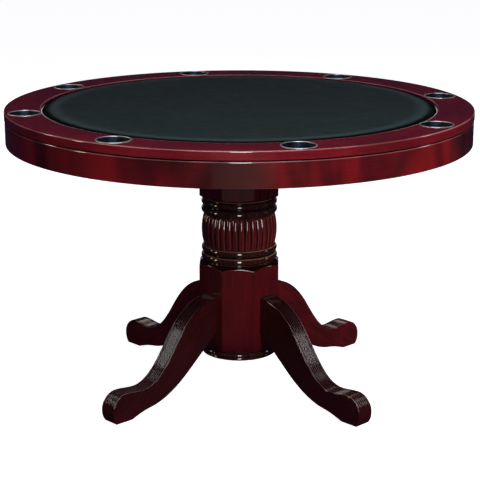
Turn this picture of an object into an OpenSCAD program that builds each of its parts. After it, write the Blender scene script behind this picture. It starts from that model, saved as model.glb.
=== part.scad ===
// Round gaming table: a lift-off top with a padded playing surface and eight
// drop-in cup holders, on a bent apron, a turned and reeded column and four
// reeded legs. Millimetres, +Z up, origin on the floor under the table's centre.
// The legs stand on the diagonals, at 45 degrees to the X and Y axes.

/* [Overall size] */
// Diameter of the round top
table_d = 1219.2; // [1210:0.1:1230]
// Height of the wooden table top above the floor
table_h = 768; // [755:1:775]

/* [Top] */
// Thickness of the rail, the wooden ring round the playing surface
rail_t = 24; // [22:1:28]
// Diameter of the well that holds the playing surface
well_d = 1018; // [1010:1:1020]
// Radius of the round-over along the rail's inner edge
rail_roll = 10; // [4:1:12]
// Gap between the padded playing surface and the rail
pad_gap = 0.8; // [0.5:0.1:3]
// Thickness of the board under the padding
board_t = 9; // [6:1:10]
// Thickness of the vinyl
vinyl_t = 1.2; // [0.8:0.1:2]
// Height of the playing surface above the rail
pad_proud = 0.5; // [0:0.1:2]
// Thickness of the battens under the top
batten_t = 18; // [15:1:20]
// Width of each batten
batten_w = 40; // [30:1:45]

/* [Cup holders] */
// Radius of the circle through the cup holders' centres
cup_ring_r = 558.8; // [556:0.1:560]
// Angle of the first cup holder from the X axis
cup_start = 15.2; // [10:0.1:20]
// Outside radius of a cup's body
cup_r = 37; // [34:0.5:37]
// Outside radius of a cup's wider mouth, inside the rail
cup_mouth_r = 40; // [38:0.5:40]
// Radius of a cup's flange
cup_flange_r = 43; // [41:0.5:44]
// Height of a cup's flange above the rail
cup_flange_t = 2; // [1:0.5:3]
// Depth of a cup below the rail's top
cup_depth = 58; // [45:1:62]
// Thickness of the sheet metal
cup_t = 0.8; // [0.6:0.1:1.5]

/* [Apron] */
// Height of the apron below the top
apron_h = 63; // [55:1:70]
// Thickness of the bent apron
apron_t = 11; // [8:1:11]
// Distance that the apron stands back from the rail's edge
apron_inset = 1.1; // [0.5:0.1:2]
// Thickness of the two cross rails
cross_rail_t = 27; // [24:1:30]
// Width of the two cross rails
cross_rail_w = 70; // [60:1:90]
// Thickness of the mounting plate
plate_t = 18; // [16:1:20]
// Width across the flats of the mounting plate
plate_w = 360; // [340:1:380]

/* [Column] */
// Width across the flats of the upper block
upper_block_w = 208.4; // [204:0.1:212]
// Width across the flats of the lower block
lower_block_w = 211; // [208:0.1:214]
// Number of reeds round the barrel
reed_count = 36; // [24:1:48]
// Depth of the hollows between the barrel's reeds
reed_depth = 3.6; // [2:0.1:5]
// Height of the bottom of the base disc
base_disc_z = 92.2; // [88:0.1:100]

/* [Legs] */
// Thickness of each leg
leg_w = 48; // [44:1:50]
// Width of the plain bead along each edge of a leg's top face
leg_bead_w = 6.5; // [5:0.5:8]
// Width of each groove in a leg's top face
groove_w = 2; // [1.5:0.1:2.5]
// Depth of each groove in a leg's top face
groove_d = 1.6; // [1:0.1:2]
// Thickness of the levelling pads under the feet
glide_t = 3; // [2:0.5:5]

/* [Hidden] */

$fn = 72;
ring_fn = 180;
eps = 1;

wood = [0.30, 0.07, 0.09];
dark_wood = [0.20, 0.05, 0.06];
plain_wood = [0.72, 0.58, 0.42];
vinyl = [0.14, 0.19, 0.19];
foam = [0.85, 0.82, 0.70];
steel = [0.72, 0.73, 0.75];
brass = [0.78, 0.62, 0.28];
nylon = [0.12, 0.12, 0.12];

// Levels, from the top down
top_z = table_h;
deck_z = top_z - rail_t;
apron_z = deck_z - apron_h;
batten_z = deck_z - batten_t;
rest_gap = 0.05;
cross_rail_z = batten_z - rest_gap - cross_rail_t;
plate_z = cross_rail_z - plate_t;
upper_block_z = 524;
upper_beads_z = 478;
barrel_z = 394;
lower_beads_z = 353;
base_top_z = 120;

// Radii of the top
table_r = table_d / 2;
well_r = well_d / 2;
vinyl_r = well_r - pad_gap;
board_r = vinyl_r - vinyl_t;
pad_z = top_z + pad_proud;
foam_z = pad_z - vinyl_t;
pad_roll = 10;
rail_edge_r = 3;
seam_r = 2.5;

cup_count = 8;
cup_step = 360 / cup_count;
cup_hole_r = cup_mouth_r + 0.5;
shoulder_z = deck_z + 1.5;
shoulder_h = 4;
batten_start = cup_start + cup_step / 2;
batten_in = 350;
batten_out = 594;

apron_r = table_r - apron_inset;
apron_in = apron_r - apron_t;
rail_top_z = cross_rail_z + cross_rail_t;
lap_z = cross_rail_z + cross_rail_t / 2;

// Screws: half widths of shanks and heads
screw_r = 2.2;
screw_head_r = 4.5;
screw_head_h = 3;
board_screws = [375, 470];
rail_ring_screws = [535, 578];
board_screw_top = 6;
ring_screw_top = 15;
ledge_in = 557;
ledge_w = 110;
ledge_t = 16;
ledge_screw_r = 575;
ledge_screw_y = 20;
plate_screw_xy = 53;
bolt_r = 4;
bolt_hole_r = 4.2;
nut_r = 7.5;
nut_h = 6.5;
washer_t = 1.6;
washer_r = 9;
rail_bolt_x = 150;
rail_bolt_y = 18;
rail_bolt_head_h = 4.5;

rod_r = 6;
rod_hole_r = 6.5;
rod_nut_r = 10.4;
rod_nut_h = 9.5;
rod_washer_r = 13;
rod_washer_t = 2;
rod_pocket_r = 18;
rod_pocket_d = 12;

block_half = lower_block_w / 2;
cavity_w = 116;
cavity_half = cavity_w / 2;
cavity_top = 300;
bead_core_r = 94;
reed_end_r = 94.8;
barrel_bulge = 5.9;

// Leg outline, measured outward from the lower block's facet and up from the sole
foot_z = glide_t;
shoulder_curve = [[0, 264], [55, 261], [97, 233], [141.5, 166]];
instep_curve = [[141.5, 166], [172.5, 121], [206.5, 70], [254.5, 70]];
toe_curve = [[254.5, 70], [274.5, 70], [289.5, 75], [312.5, 75]];
nose_centre = [312.5, 31];
nose_r = 44;
reed_end_angle = 32;
toe_drop_curve = [[356.5, 31], [356.5, 19], [353.5, 8], [345.5, 0]];
heel_curve = [[294.5, 0], [266.5, 10], [254.5, 14], [224.5, 18]];
arch_curve = [[224.5, 18], [179.5, 26], [135.5, 53], [101.5, 81.5]];
leg_joint_low = [0, 167];
leg_reeds = 5;
reed_w = (leg_w - 2 * leg_bead_w - (leg_reeds + 1) * groove_w) / leg_reeds;
leg_bolt_heights = [190, 240];
leg_bolt_in = 61.5;
leg_bolt_out = 46;
dowel_r = 5;
dowel_half = 25;
dowel_height = 215;
dowel_y = 14;
glide_x = 320;
glide_r = 11;
stem_r = 3.95;
stem_len = 35;
insert_bore_r = 4;
insert_r = 6;
insert_len = 13;

// Points along a cubic curve, and the same points moved inward by a depth
function bez(c, t) = pow(1 - t, 3) * c[0] + 3 * pow(1 - t, 2) * t * c[1]
    + 3 * (1 - t) * t * t * c[2] + pow(t, 3) * c[3];
function bez_dir(c, t) = pow(1 - t, 2) * (c[1] - c[0]) + 2 * (1 - t) * t * (c[2] - c[1])
    + t * t * (c[3] - c[2]);
function inset(p, dir, d) = p + d * [dir[1], -dir[0]] / norm(dir);
function curve(c, n, d = 0) = [for (i = [0:n - 1]) inset(bez(c, i / n), bez_dir(c, i / n), d)];
function nose(a, d) = nose_centre + (nose_r - d) * [cos(a), sin(a)];
function keep_out(points) = [for (p = points) [max(0, p[0]), p[1]]];

// The leg's side view. Its top edge is lowered by d from the column to the nose.
function leg_outline(d) = keep_out(concat(
    curve(shoulder_curve, 12, d),
    curve(instep_curve, 12, d),
    curve(toe_curve, 6, d),
    [for (i = [0:6]) nose(90 - i * (90 - reed_end_angle) / 6, d)],
    [for (i = [0:3]) nose(reed_end_angle * (1 - i / 4), 0)],
    curve(toe_drop_curve, 5),
    [toe_drop_curve[3]],
    curve(heel_curve, 6),
    curve(arch_curve, 10),
    [arch_curve[3], leg_joint_low]));

// Waste outside a quarter round, corner at the origin, material towards +X and +Y
module round_waste(r) {
    difference() {
        translate([-eps, -eps])
            square(r + eps);
        translate([r, r])
            circle(r);
    }
}

// A straight prism with eight flats, w across them, two of them square to each axis
module octagon(w, z0, z1) {
    translate([0, 0, z0])
        rotate([0, 0, 22.5])
            cylinder(r = w / 2 / cos(22.5), h = z1 - z0, $fn = 8);
}

module upright(r, z0, z1) {
    translate([0, 0, z0])
        cylinder(r = r, h = z1 - z0);
}

module hex_nut(r, h, bore) {
    difference() {
        cylinder(r = r, h = h, $fn = 6);
        translate([0, 0, -eps])
            cylinder(r = bore, h = h + 2 * eps);
    }
}

module washer(r, h, bore) {
    difference() {
        cylinder(r = r, h = h);
        translate([0, 0, -eps])
            cylinder(r = bore, h = h + 2 * eps);
    }
}

// A screw that points up from z0 to z1, and the hole that it makes
module screw_up(z0, z1, play = 0) {
    upright(screw_head_r + play, z0 - (play > 0 ? eps : 0), z0 + screw_head_h);
    upright(screw_r + play, z0, z1);
}

// A screw that points down from z1 to z0, and the hole that it makes
module screw_down(z0, z1, play = 0) {
    upright(screw_head_r + play, z1 - screw_head_h, z1 + (play > 0 ? eps : 0));
    upright(screw_r + play, z0, z1);
}

module at_cup(i) {
    rotate([0, 0, cup_start + (i - 1) * cup_step])
        translate([cup_ring_r, 0, 0])
            children();
}

module at_battens() {
    for (i = [0:cup_count - 1])
        rotate([0, 0, batten_start + i * cup_step])
            children();
}

module at_quarters() {
    for (i = [0:3])
        rotate([0, 0, 90 * i])
            children();
}

// Places a leg's own frame: X outward from the lower block's facet, Z up from the sole
module at_leg(i) {
    rotate([0, 0, 45 + 90 * (i - 1)])
        translate([block_half, 0, foot_z])
            children();
}

module at_legs() {
    for (i = [1:4])
        at_leg(i)
            children();
}

// ---- Top ----

module batten_screw_set(play = 0) {
    for (r = board_screws)
        translate([r, 0, 0])
            screw_up(batten_z, deck_z + board_screw_top, play);
    for (r = rail_ring_screws)
        translate([r, 0, 0])
            screw_up(batten_z, deck_z + ring_screw_top, play);
}

module rail_profile() {
    difference() {
        translate([well_r, deck_z])
            square([table_r - well_r, rail_t]);
        translate([table_r, top_z])
            mirror([1, 0])
                mirror([0, 1])
                    round_waste(rail_edge_r);
        translate([table_r, deck_z])
            mirror([1, 0])
                round_waste(seam_r);
        translate([well_r, top_z])
            mirror([0, 1])
                round_waste(rail_roll);
    }
}

module rail_ring() {
    color(wood)
        difference() {
            rotate_extrude($fn = ring_fn)
                rail_profile();
            for (i = [1:cup_count])
                at_cup(i)
                    upright(cup_hole_r, deck_z - eps, top_z + eps);
            at_battens()
                batten_screw_set(0.1);
        }
}

module playfield_board() {
    color(plain_wood)
        difference() {
            translate([0, 0, deck_z])
                cylinder(r = board_r, h = board_t, $fn = ring_fn);
            at_battens()
                batten_screw_set(0.1);
        }
}

module pad_profile(r, z0, z1, roll) {
    translate([0, z0])
        square([r - roll, z1 - z0]);
    translate([0, z0])
        square([r, z1 - roll - z0]);
    translate([r - roll, z1 - roll])
        circle(roll);
}

module foam_pad() {
    color(foam)
        rotate_extrude($fn = ring_fn)
            intersection() {
                pad_profile(board_r, deck_z, foam_z, pad_roll - vinyl_t);
                translate([0, deck_z + board_t])
                    square([board_r, rail_t]);
            }
}

module vinyl_cover() {
    color(vinyl)
        rotate_extrude($fn = ring_fn)
            difference() {
                intersection() {
                    pad_profile(vinyl_r, deck_z, pad_z, pad_roll);
                    translate([0, deck_z])
                        square([vinyl_r, 2 * rail_t]);
                }
                pad_profile(board_r, deck_z - eps, foam_z, pad_roll - vinyl_t);
            }
}

module top_battens() {
    color(plain_wood)
        at_battens()
            difference() {
                intersection() {
                    translate([batten_in, -batten_w / 2, batten_z])
                        cube([batten_out, batten_w, batten_t]);
                    translate([0, 0, batten_z - eps])
                        cylinder(r = batten_out, h = batten_t + 2 * eps, $fn = ring_fn);
                }
                batten_screw_set(0.1);
            }
}

module batten_screws() {
    color(steel)
        at_battens()
            batten_screw_set();
}

// ---- Cup holders ----

// The outline of a cup's body, made smaller by t for the inside
module cup_outline(t) {
    floor_z = top_z - cup_depth;
    polygon([[0, floor_z + t], [cup_r - t, floor_z + t], [cup_r - t, shoulder_z + 0.4 * t],
        [cup_mouth_r - t, shoulder_z + shoulder_h + 0.4 * t],
        [cup_mouth_r - t, top_z + cup_flange_t / 2 + t], [0, top_z + cup_flange_t / 2 + t]]);
}

module cup_profile() {
    difference() {
        union() {
            cup_outline(0);
            difference() {
                translate([0, top_z + rest_gap])
                    square([cup_flange_r, cup_flange_t - rest_gap]);
                translate([cup_flange_r, top_z + cup_flange_t])
                    mirror([1, 0])
                        mirror([0, 1])
                            round_waste(cup_flange_t * 0.8);
            }
        }
        cup_outline(cup_t);
        translate([0, top_z])
            square([cup_mouth_r - cup_t, 2 * cup_flange_t]);
    }
}

module cup_holder(i) {
    color(steel)
        at_cup(i)
            rotate_extrude()
                cup_profile();
}

// ---- Apron and its frame ----

module apron_hoop() {
    color(wood)
        rotate_extrude($fn = ring_fn)
            difference() {
                translate([apron_in, apron_z])
                    square([apron_t, apron_h]);
                translate([apron_r, deck_z])
                    mirror([1, 0])
                        mirror([0, 1])
                            round_waste(seam_r);
                translate([apron_r, apron_z])
                    mirror([1, 0])
                        round_waste(seam_r);
            }
}

module ledge_screw_set(play = 0) {
    for (s = [-1, 1])
        translate([ledge_screw_r, s * ledge_screw_y, 0])
            screw_up(cross_rail_z - ledge_t, cross_rail_z + cross_rail_t - 10, play);
}

module ledge_blocks() {
    color(plain_wood)
        at_quarters()
            difference() {
                intersection() {
                    translate([ledge_in, -ledge_w / 2, cross_rail_z - ledge_t])
                        cube([ledge_w, ledge_w, ledge_t]);
                    upright(apron_in - 0.1, cross_rail_z - ledge_t - eps, cross_rail_z + eps, $fn = ring_fn);
                }
                ledge_screw_set(0.1);
            }
}

module rail_screws() {
    color(steel)
        at_quarters()
            ledge_screw_set();
}

module rail_bolt_places() {
    at_quarters()
        for (s = [-1, 1])
            translate([rail_bolt_x, s * rail_bolt_y, 0])
                children();
}

// A cross rail along X, with half its thickness cut away at the middle
module cross_rail(lap_from) {
    difference() {
        intersection() {
            translate([-table_r, -cross_rail_w / 2, cross_rail_z])
                cube([table_d, cross_rail_w, cross_rail_t]);
            translate([0, 0, cross_rail_z - eps])
                cylinder(r = apron_in - 0.3, h = cross_rail_t + 2 * eps, $fn = ring_fn);
        }
        translate([-cross_rail_w / 2, -cross_rail_w, lap_from])
            cube([cross_rail_w, 2 * cross_rail_w, cross_rail_t / 2 + eps]);
        rail_bolt_places()
            upright(bolt_hole_r, cross_rail_z - eps, rail_top_z + eps);
        at_quarters()
            ledge_screw_set(0.1);
    }
}

module cross_rail_x() {
    color(plain_wood)
        cross_rail(lap_z);
}

module cross_rail_y() {
    color(plain_wood)
        rotate([0, 0, 90])
            cross_rail(cross_rail_z - eps);
}

module plate_screw_set(play = 0) {
    at_quarters()
        translate([plate_screw_xy, plate_screw_xy, 0])
            screw_down(plate_z - 50, plate_z + plate_t, play);
}

module mounting_plate() {
    nut_pocket = rod_washer_t + rod_nut_h + 1.5;
    color(dark_wood)
        difference() {
            octagon(plate_w, plate_z, cross_rail_z);
            upright(rod_hole_r, plate_z - eps, cross_rail_z + eps);
            upright(rod_pocket_r, cross_rail_z - nut_pocket, cross_rail_z + eps);
            plate_screw_set(0.1);
            rail_bolt_places()
                upright(bolt_hole_r, plate_z - eps, cross_rail_z + eps);
        }
}

module plate_screws() {
    color(steel)
        plate_screw_set();
}

module rail_bolts() {
    color(steel)
        rail_bolt_places() {
            upright(bolt_r, plate_z - washer_t - nut_h - 2, rail_top_z);
            upright(washer_r, rail_top_z, rail_top_z + rail_bolt_head_h);
        }
}

module rail_nuts() {
    color(steel)
        rail_bolt_places() {
            translate([0, 0, plate_z - washer_t])
                washer(washer_r, washer_t, bolt_r + 0.05);
            translate([0, 0, plate_z - washer_t - nut_h])
                hex_nut(nut_r, nut_h, bolt_r + 0.05);
        }
}

// ---- Column ----

module upper_block() {
    chamfer_r = 130;
    color(wood)
        difference() {
            intersection() {
                octagon(upper_block_w, upper_block_z, plate_z);
                rotate_extrude()
                    polygon([[0, upper_block_z], [96, upper_block_z],
                        [chamfer_r, upper_block_z + 17], [chamfer_r, plate_z], [0, plate_z]]);
            }
            upright(rod_hole_r, upper_block_z - eps, plate_z + eps);
            plate_screw_set(0.1);
        }
}

// A turned ring with two half-round beads; each bead is [radius to its centre, height, half width]
module turned_beads(z0, z1, beads) {
    rotate_extrude() {
        translate([rod_hole_r, z0])
            square([bead_core_r - rod_hole_r, z1 - z0]);
        for (b = beads)
            translate([b[0], b[1]])
                circle(b[2]);
    }
}

module upper_beads() {
    color(dark_wood)
        turned_beads(upper_beads_z, upper_block_z, [[91.2, 490.3, 10], [93, 511.5, 8]]);
}

module lower_beads() {
    color(dark_wood)
        turned_beads(lower_beads_z, barrel_z, [[91.7, 363.2, 10], [91.4, 384.3, 9.5]]);
}

// Half the barrel's width at height share v and angle share u of one reed
function barrel_r(u, v) =
    let (belly = 1 - pow(2 * v - 1, 2),
        hollow = reed_depth * (0.15 + 0.85 * min(1, 6 * v, 6 * (1 - v))))
    reed_end_r + barrel_bulge * belly - hollow * (1 - sin(180 * u));

module reeded_barrel() {
    facets = 4;
    rings = 9;
    columns = reed_count * facets;
    height = upper_beads_z - barrel_z;
    points = [for (j = [0:rings - 1]) for (i = [0:columns - 1])
        let (v = j / (rings - 1), a = 360 * i / columns, r = barrel_r((i % facets) / facets, v))
        [r * cos(a), r * sin(a), barrel_z + height * v]];
    sides = [for (j = [0:rings - 2]) for (i = [0:columns - 1])
        let (a = j * columns + i, b = j * columns + (i + 1) % columns)
        [a, a + columns, b + columns, b]];
    low_face = [for (i = [0:columns - 1]) i];
    high_face = [for (i = [0:columns - 1]) rings * columns - 1 - i];
    color(wood)
        difference() {
            polyhedron(points, concat(sides, [low_face, high_face]));
            upright(rod_hole_r, barrel_z - eps, upper_beads_z + eps);
        }
}

module leg_fixing_holes() {
    for (h = leg_bolt_heights)
        translate([-leg_bolt_in, 0, h])
            rotate([0, 90, 0])
                cylinder(r = bolt_hole_r, h = leg_bolt_in + leg_bolt_out + 2);
    for (s = [-1, 1])
        translate([-dowel_half - 0.5, s * dowel_y, dowel_height])
            rotate([0, 90, 0])
                cylinder(r = dowel_r + 0.05, h = 2 * dowel_half + 1);
}

module lower_block() {
    shoulder_r = 130;
    color(wood)
        difference() {
            intersection() {
                octagon(lower_block_w, base_top_z, lower_beads_z);
                rotate_extrude()
                    polygon([[0, base_top_z], [shoulder_r, base_top_z], [shoulder_r, lower_beads_z - 24],
                        [98, lower_beads_z], [0, lower_beads_z]]);
            }
            octagon(cavity_w, base_top_z - eps, cavity_top);
            upright(rod_hole_r, cavity_top - eps, lower_beads_z + eps);
            at_legs()
                leg_fixing_holes();
            base_screw_set(0.1);
        }
}

module base_screw_set(play = 0) {
    at_quarters()
        translate([82, 0, 0])
            screw_up(base_disc_z, base_top_z + 30, play);
}

module base_disc() {
    color(wood)
        difference() {
            rotate_extrude() {
                difference() {
                    translate([0, base_disc_z])
                        square([101.5, 8]);
                    translate([101.5, base_disc_z])
                        mirror([1, 0])
                            round_waste(4);
                }
                translate([0, base_disc_z + 7])
                    square([98, base_top_z - base_disc_z - 7]);
                translate([98, base_disc_z + 13.5])
                    circle(6.5);
            }
            upright(rod_hole_r, base_disc_z - eps, base_top_z + eps);
            upright(rod_pocket_r, base_disc_z - eps, base_disc_z + rod_pocket_d);
            base_screw_set(0.1);
        }
}

module base_screws() {
    color(steel)
        base_screw_set();
}

module tie_rod() {
    color(steel)
        upright(rod_r, base_disc_z + 0.5, cross_rail_z - 0.5);
}

module tie_nuts() {
    low_z = base_disc_z + rod_pocket_d - rod_washer_t;
    high_z = cross_rail_z - 1.5 - rod_nut_h;
    color(steel) {
        translate([0, 0, low_z])
            washer(rod_washer_r, rod_washer_t, rod_r + 0.05);
        translate([0, 0, low_z - rod_nut_h])
            hex_nut(rod_nut_r, rod_nut_h, rod_r + 0.05);
        translate([0, 0, high_z - rod_washer_t])
            washer(rod_washer_r, rod_washer_t, rod_r + 0.05);
        translate([0, 0, high_z])
            hex_nut(rod_nut_r, rod_nut_h, rod_r + 0.05);
    }
}

// ---- Legs ----

module leg_blank() {
    first_reed = -leg_w / 2 + leg_bead_w + groove_w;
    rotate([90, 0, 0]) {
        linear_extrude(leg_w, center = true)
            polygon(leg_outline(groove_d));
        for (s = [-leg_w / 2, leg_w / 2 - leg_bead_w])
            translate([0, 0, s])
                linear_extrude(leg_bead_w)
                    polygon(leg_outline(0));
        for (i = [0:leg_reeds - 1])
            translate([0, 0, first_reed + i * (reed_w + groove_w)])
                linear_extrude(reed_w)
                    polygon(leg_outline(0));
    }
}

module leg(i) {
    color(wood)
        at_leg(i)
            difference() {
                leg_blank();
                leg_fixing_holes();
                translate([glide_x, 0, -eps])
                    cylinder(r = insert_r + 0.05, h = insert_len + eps);
                translate([glide_x, 0, 0])
                    cylinder(r = stem_r + 0.5, h = stem_len + 4);
            }
}

module leg_bolts() {
    color(steel)
        at_legs()
            for (h = leg_bolt_heights)
                translate([-leg_bolt_in, 0, h])
                    rotate([0, 90, 0])
                        cylinder(r = bolt_r, h = leg_bolt_in + leg_bolt_out);
}

module leg_nuts() {
    cavity_x = cavity_half - block_half;
    color(steel)
        at_legs()
            for (h = leg_bolt_heights)
                translate([cavity_x, 0, h])
                    rotate([0, -90, 0]) {
                        washer(washer_r, washer_t, bolt_r + 0.05);
                        translate([0, 0, washer_t])
                            hex_nut(nut_r, nut_h, bolt_r + 0.05);
                    }
}

module leg_dowels() {
    color(plain_wood)
        at_legs()
            for (s = [-1, 1])
                translate([-dowel_half, s * dowel_y, dowel_height])
                    rotate([0, 90, 0])
                        cylinder(r = dowel_r, h = 2 * dowel_half);
}

module foot_inserts() {
    color(brass)
        at_legs()
            translate([glide_x, 0, 0])
                washer(insert_r, insert_len, insert_bore_r);
}

module leveler(i) {
    color(nylon)
        at_leg(i)
            translate([glide_x, 0, -glide_t]) {
                cylinder(r = glide_r, h = glide_t);
                cylinder(r = stem_r, h = glide_t + stem_len);
            }
}

rail_ring();
playfield_board();
foam_pad();
vinyl_cover();
top_battens();
batten_screws();
cup_holder(1);  // cup_holder_1
cup_holder(2);  // cup_holder_2
cup_holder(3);  // cup_holder_3
cup_holder(4);  // cup_holder_4
cup_holder(5);  // cup_holder_5
cup_holder(6);  // cup_holder_6
cup_holder(7);  // cup_holder_7
cup_holder(8);  // cup_holder_8
apron_hoop();
cross_rail_x();
cross_rail_y();
ledge_blocks();
rail_screws();
mounting_plate();
plate_screws();
rail_bolts();
rail_nuts();
upper_block();
upper_beads();
reeded_barrel();
lower_beads();
lower_block();
base_disc();
base_screws();
tie_rod();
tie_nuts();
leg(1);  // leg_1
leg(2);  // leg_2
leg(3);  // leg_3
leg(4);  // leg_4
leg_bolts();
leg_nuts();
leg_dowels();
foot_inserts();
leveler(1);  // leveler_1
leveler(2);  // leveler_2
leveler(3);  // leveler_3
leveler(4);  // leveler_4
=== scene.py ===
"""Looks of a round gaming table: lacquered mahogany, a padded vinyl playing surface, steel cup holders."""
import math

import bmesh
import bpy
import numpy as np
from mathutils import Matrix, Vector


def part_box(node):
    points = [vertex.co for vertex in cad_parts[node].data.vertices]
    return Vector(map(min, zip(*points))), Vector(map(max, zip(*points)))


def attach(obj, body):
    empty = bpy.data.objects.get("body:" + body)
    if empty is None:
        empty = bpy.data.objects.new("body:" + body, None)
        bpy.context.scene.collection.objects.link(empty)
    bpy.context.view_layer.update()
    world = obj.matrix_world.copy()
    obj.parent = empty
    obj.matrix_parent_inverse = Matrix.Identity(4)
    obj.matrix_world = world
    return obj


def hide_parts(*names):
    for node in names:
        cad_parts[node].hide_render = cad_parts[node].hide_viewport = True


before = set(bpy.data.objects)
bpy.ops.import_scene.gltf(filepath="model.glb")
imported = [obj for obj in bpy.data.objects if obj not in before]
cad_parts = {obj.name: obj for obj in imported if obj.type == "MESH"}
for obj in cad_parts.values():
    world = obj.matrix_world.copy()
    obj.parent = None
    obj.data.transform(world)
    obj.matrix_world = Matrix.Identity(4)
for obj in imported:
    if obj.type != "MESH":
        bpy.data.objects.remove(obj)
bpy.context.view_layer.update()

MM = 0.001
TURN = 2 * math.pi


# ---- Sizes, from the frame ----

RAIL_LO, RAIL_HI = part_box("rail_ring")
TABLE_R = RAIL_HI.x
TOP_Z = RAIL_HI.z
DECK_Z = RAIL_LO.z
VINYL_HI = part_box("vinyl_cover")[1]
PAD_R = VINYL_HI.x
PAD_RISE = 1.6 * MM
BOARD_TOP_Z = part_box("playfield_board")[1].z
WELL_R = PAD_R + 0.8 * MM
APRON_LO, APRON_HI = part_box("apron_hoop")
UPPER_LO, UPPER_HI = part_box("upper_block")
LOWER_LO, LOWER_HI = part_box("lower_block")
UPPER_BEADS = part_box("upper_beads")
LOWER_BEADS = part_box("lower_beads")
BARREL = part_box("reeded_barrel")
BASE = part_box("base_disc")
SOLE_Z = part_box("leg_1")[0].z
COLUMN_BORE = 80 * MM
LEG_W = 48 * MM
REED_COUNT = 36
CUP_COUNT = 8


# ---- Mesh helpers ----

def arc(centre_r, centre_z, radius, start, end, steps, marked=None, mark=1.0):
    """Points (r, z) on an arc in a profile, angles in degrees, both ends included.

    Points between the two angles of marked get a third value: above 0 a painted highlight, below 0 painted
    shade.
    """
    points = []
    for i in range(steps + 1):
        angle = start + (end - start) * i / steps
        turn = math.radians(angle)
        point = (centre_r + radius * math.cos(turn), centre_z + radius * math.sin(turn))
        points.append(point + (mark,) if marked and marked[0] < angle < marked[1] else point)
    return points


def link(name, mesh):
    obj = bpy.data.objects.new(name, mesh)
    bpy.context.scene.collection.objects.link(obj)
    return obj


def shade(mesh, sharp_angle=32):
    mesh.shade_smooth()
    mesh.set_sharp_from_angle(angle=math.radians(sharp_angle))


def grid_mesh(name, points, close_rows=True, close_columns=True, caps=False, sharp_angle=32, marks=None):
    """A mesh over points[row][column], with poles merged and faces turned outward.

    marks names values for each point that the materials read: how much painted shade and how much painted
    highlight.
    """
    rows, columns = points.shape[:2]
    index = np.arange(rows * columns).reshape(rows, columns)
    faces = []
    for i in range(rows if close_rows else rows - 1):
        for j in range(columns if close_columns else columns - 1):
            k, m = (i + 1) % rows, (j + 1) % columns
            faces.append((index[i, j], index[k, j], index[k, m], index[i, m]))
    if caps:
        faces.append(tuple(index[:, 0]))
        faces.append(tuple(index[::-1, columns - 1]))
    mesh = bpy.data.meshes.new(name)
    mesh.from_pydata(points.reshape(-1, 3).tolist(), [], [tuple(int(v) for v in f) for f in faces])
    for key, values in (marks or {}).items():
        layer = mesh.attributes.new(key, "FLOAT", "POINT")
        layer.data.foreach_set("value", np.broadcast_to(values, (rows, columns)).astype(np.float32).ravel())
    work = bmesh.new()
    work.from_mesh(mesh)
    bmesh.ops.remove_doubles(work, verts=work.verts, dist=1e-6)
    bmesh.ops.dissolve_degenerate(work, dist=1e-7, edges=work.edges)
    bmesh.ops.recalc_face_normals(work, faces=work.faces)
    work.edges.index_update()
    cap_edges = [e.index for f in work.faces if len(f.verts) > 4 for e in f.edges]
    work.to_mesh(mesh)
    work.free()
    shade(mesh, sharp_angle)
    if caps:
        for k in cap_edges:
            mesh.edges[k].use_edge_sharp = True
    return link(name, mesh)


def lathe(name, profile, steps=160, sharp_angle=32):
    """A turned solid: the closed profile of (r, z) points swept round the Z axis."""
    turns = np.arange(steps) * TURN / steps
    r, z, mark = np.array([(tuple(p) + (0.0,))[:3] for p in profile]).T
    points = np.stack([np.outer(np.cos(turns), r), np.outer(np.sin(turns), r),
                       np.broadcast_to(z, (steps, len(z)))], axis=-1)
    return grid_mesh(name, points, sharp_angle=sharp_angle,
                     marks={"painted_highlight": np.maximum(mark, 0), "painted_shade": np.maximum(-mark, 0)})


def eight_sided(name, across, profile_at, corner=2.2 * MM, corner_steps=4, side_steps=22):
    """A block with eight flats and eased corners.

    profile_at(r) gives its profile where the plan's radius is r. Towards its lower edge it gets painted
    shade.
    """
    half, columns = across / 2, []
    reach = half * math.tan(math.pi / 8)
    ease = corner * math.tan(math.pi / 8)
    for side in range(8):
        turn = side * TURN / 8
        flat = reach - ease
        for i in range(side_steps + 1):
            columns.append((turn, half, flat * (2 * i / side_steps - 1)))
        for i in range(1, corner_steps):
            a = math.pi / 4 * i / corner_steps
            columns.append((turn, half - corner + corner * math.cos(a), flat + corner * math.sin(a)))
    rows = []
    for turn, x, y in columns:
        radius, angle = math.hypot(x, y), turn + math.atan2(y, x)
        rows.append([(r * math.cos(angle), r * math.sin(angle), z) for r, z in profile_at(radius)])
    rows = np.array(rows)
    above = rows[:, :, 2] - rows[:, :, 2].min()
    # Painted shade that grows towards the block's lower edge.
    return grid_mesh(name, rows, marks={"painted_shade": 0.6 * np.exp(-above / (30 * MM))})


def cut(obj, cutters):
    """Cuts the cutters out of obj and removes them."""
    for cutter in cutters:
        step = obj.modifiers.new("cut", "BOOLEAN")
        step.operation = "DIFFERENCE"
        step.solver = "EXACT"
        step.object = cutter
    bake_modifiers(obj)
    for cutter in cutters:
        bpy.data.objects.remove(cutter)


def bake_modifiers(obj):
    graph = bpy.context.evaluated_depsgraph_get()
    mesh = bpy.data.meshes.new_from_object(obj.evaluated_get(graph))
    obj.modifiers.clear()
    obj.data = mesh


def place(obj, body, material, slot, *nodes):
    """Gives a finished piece its material, its body and the CAD nodes that it stands for."""
    obj.data.materials.clear()
    obj.data.materials.append(material)
    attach(obj, body)
    if nodes:
        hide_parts(*nodes)
    return obj


# ---- Node helpers ----

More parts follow.
